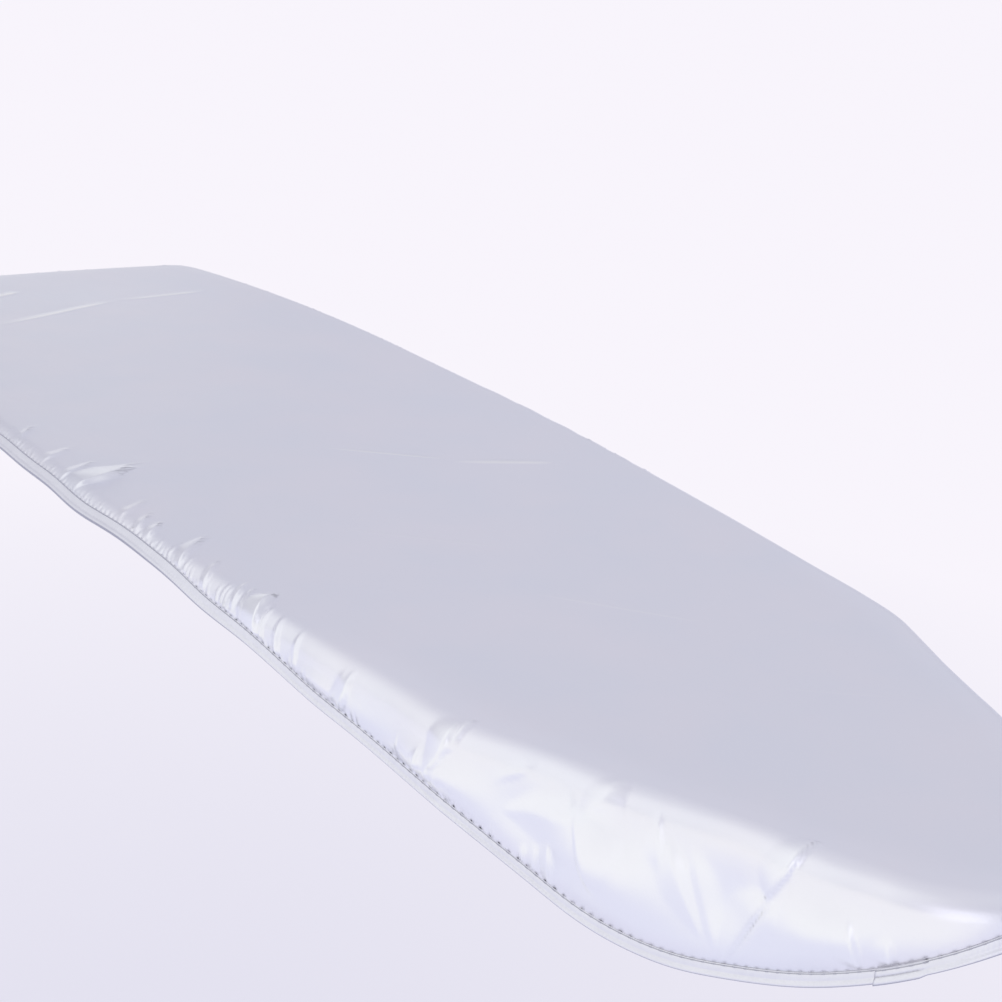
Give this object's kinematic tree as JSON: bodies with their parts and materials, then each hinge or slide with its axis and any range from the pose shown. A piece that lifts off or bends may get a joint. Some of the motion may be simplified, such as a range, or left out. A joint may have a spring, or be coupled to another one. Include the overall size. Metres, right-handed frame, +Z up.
{
  "type": "ironing board cover",
  "caption": "Silver-coated padded ironing board cover with an elastic bound hem, short along the wide part and hanging down as a gathered skirt at the nose.",
  "frame": {"origin": "middle of the pad's underside, where the ironing board's top lies", "axes": "+X along the board from the tail to the nose, +Z up, -Y the near side of the picture"},
  "size_m": [1.1959, 0.3984, 0.0898],
  "materials": {
    "silver_cloth": "metallised cotton, satin silver",
    "felt": "matt needled felt",
    "binding_tape": "satin woven tape",
    "elastic": "matt braided elastic cord"
  },
  "bodies": {
    "root": {"face_cloth": "silver_cloth", "felt_pad": "felt", "hem_binding": "binding_tape", "hem_elastic": "elastic"}
  },
  "joints": []
}
